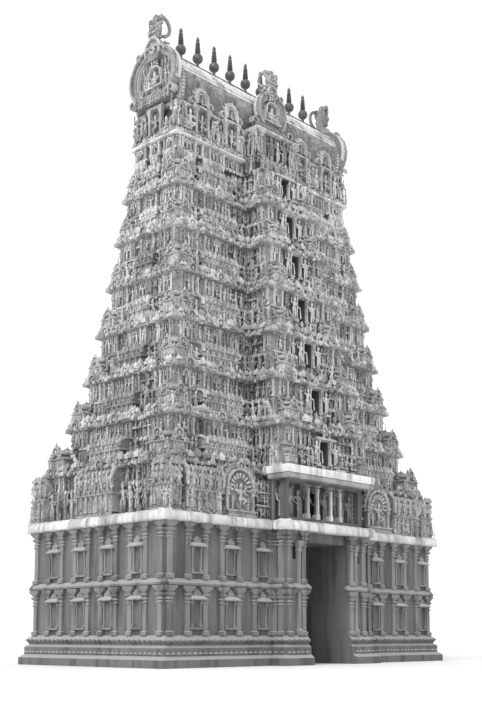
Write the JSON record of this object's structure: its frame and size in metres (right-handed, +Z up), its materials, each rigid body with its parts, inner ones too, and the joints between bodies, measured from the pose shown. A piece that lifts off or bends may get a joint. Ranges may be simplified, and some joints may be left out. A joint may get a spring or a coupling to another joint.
{
  "type": "scale model of a temple gateway tower at 1:2",
  "caption": "Stepped temple gateway tower: granite base pierced by a passage, hollow storeys with middle bays, barrel-vaulted crown with gables and a row of finials.",
  "frame": {"origin": "middle of the footprint, at ground level", "axes": "+X along the ridge and the long faces, -Y towards the front face, +Z up"},
  "size_m": [16.5, 9.6, 26.2503],
  "materials": {
    "granite": "matte",
    "limewash": "matte",
    "stucco": "matte",
    "vault_plaster": "matte",
    "ridge_band": "matte",
    "finial_metal": "satin"
  },
  "bodies": {
    "root": {"left_base_plinth": "granite", "left_base_wall": "granite", "right_base_plinth": "granite", "right_base_wall": "granite", "gateway_lintel": "granite", "base_cornice": "limewash", "storey_1_walls": "stucco", "storey_1_cornice": "stucco", "storey_2_walls": "stucco", "storey_2_cornice": "stucco", "storey_3_walls": "stucco", "storey_3_cornice": "stucco", "storey_4_walls": "stucco", "storey_4_cornice": "stucco", "storey_5_walls": "stucco", "storey_5_cornice": "stucco", "storey_6_walls": "stucco", "storey_6_cornice": "stucco", "storey_7_walls": "stucco", "storey_7_cornice": "stucco", "storey_8_walls": "stucco", "storey_8_cornice": "limewash", "front_porch_roof": "limewash", "front_porch_columns": "limewash", "back_porch_roof": "limewash", "back_porch_columns": "limewash", "crown_neck_walls": "stucco", "crown_springing": "stucco", "crown_vault": "vault_plaster", "crown_ridge": "ridge_band", "left_gable": "stucco", "right_gable": "stucco", "front_gable": "stucco", "back_gable": "stucco", "finial_1": "finial_metal", "finial_2": "finial_metal", "finial_3": "finial_metal", "finial_4": "finial_metal", "finial_5": "finial_metal", "finial_6": "finial_metal", "finial_7": "finial_metal", "finial_8": "finial_metal", "finial_9": "finial_metal"}
  },
  "joints": []
}
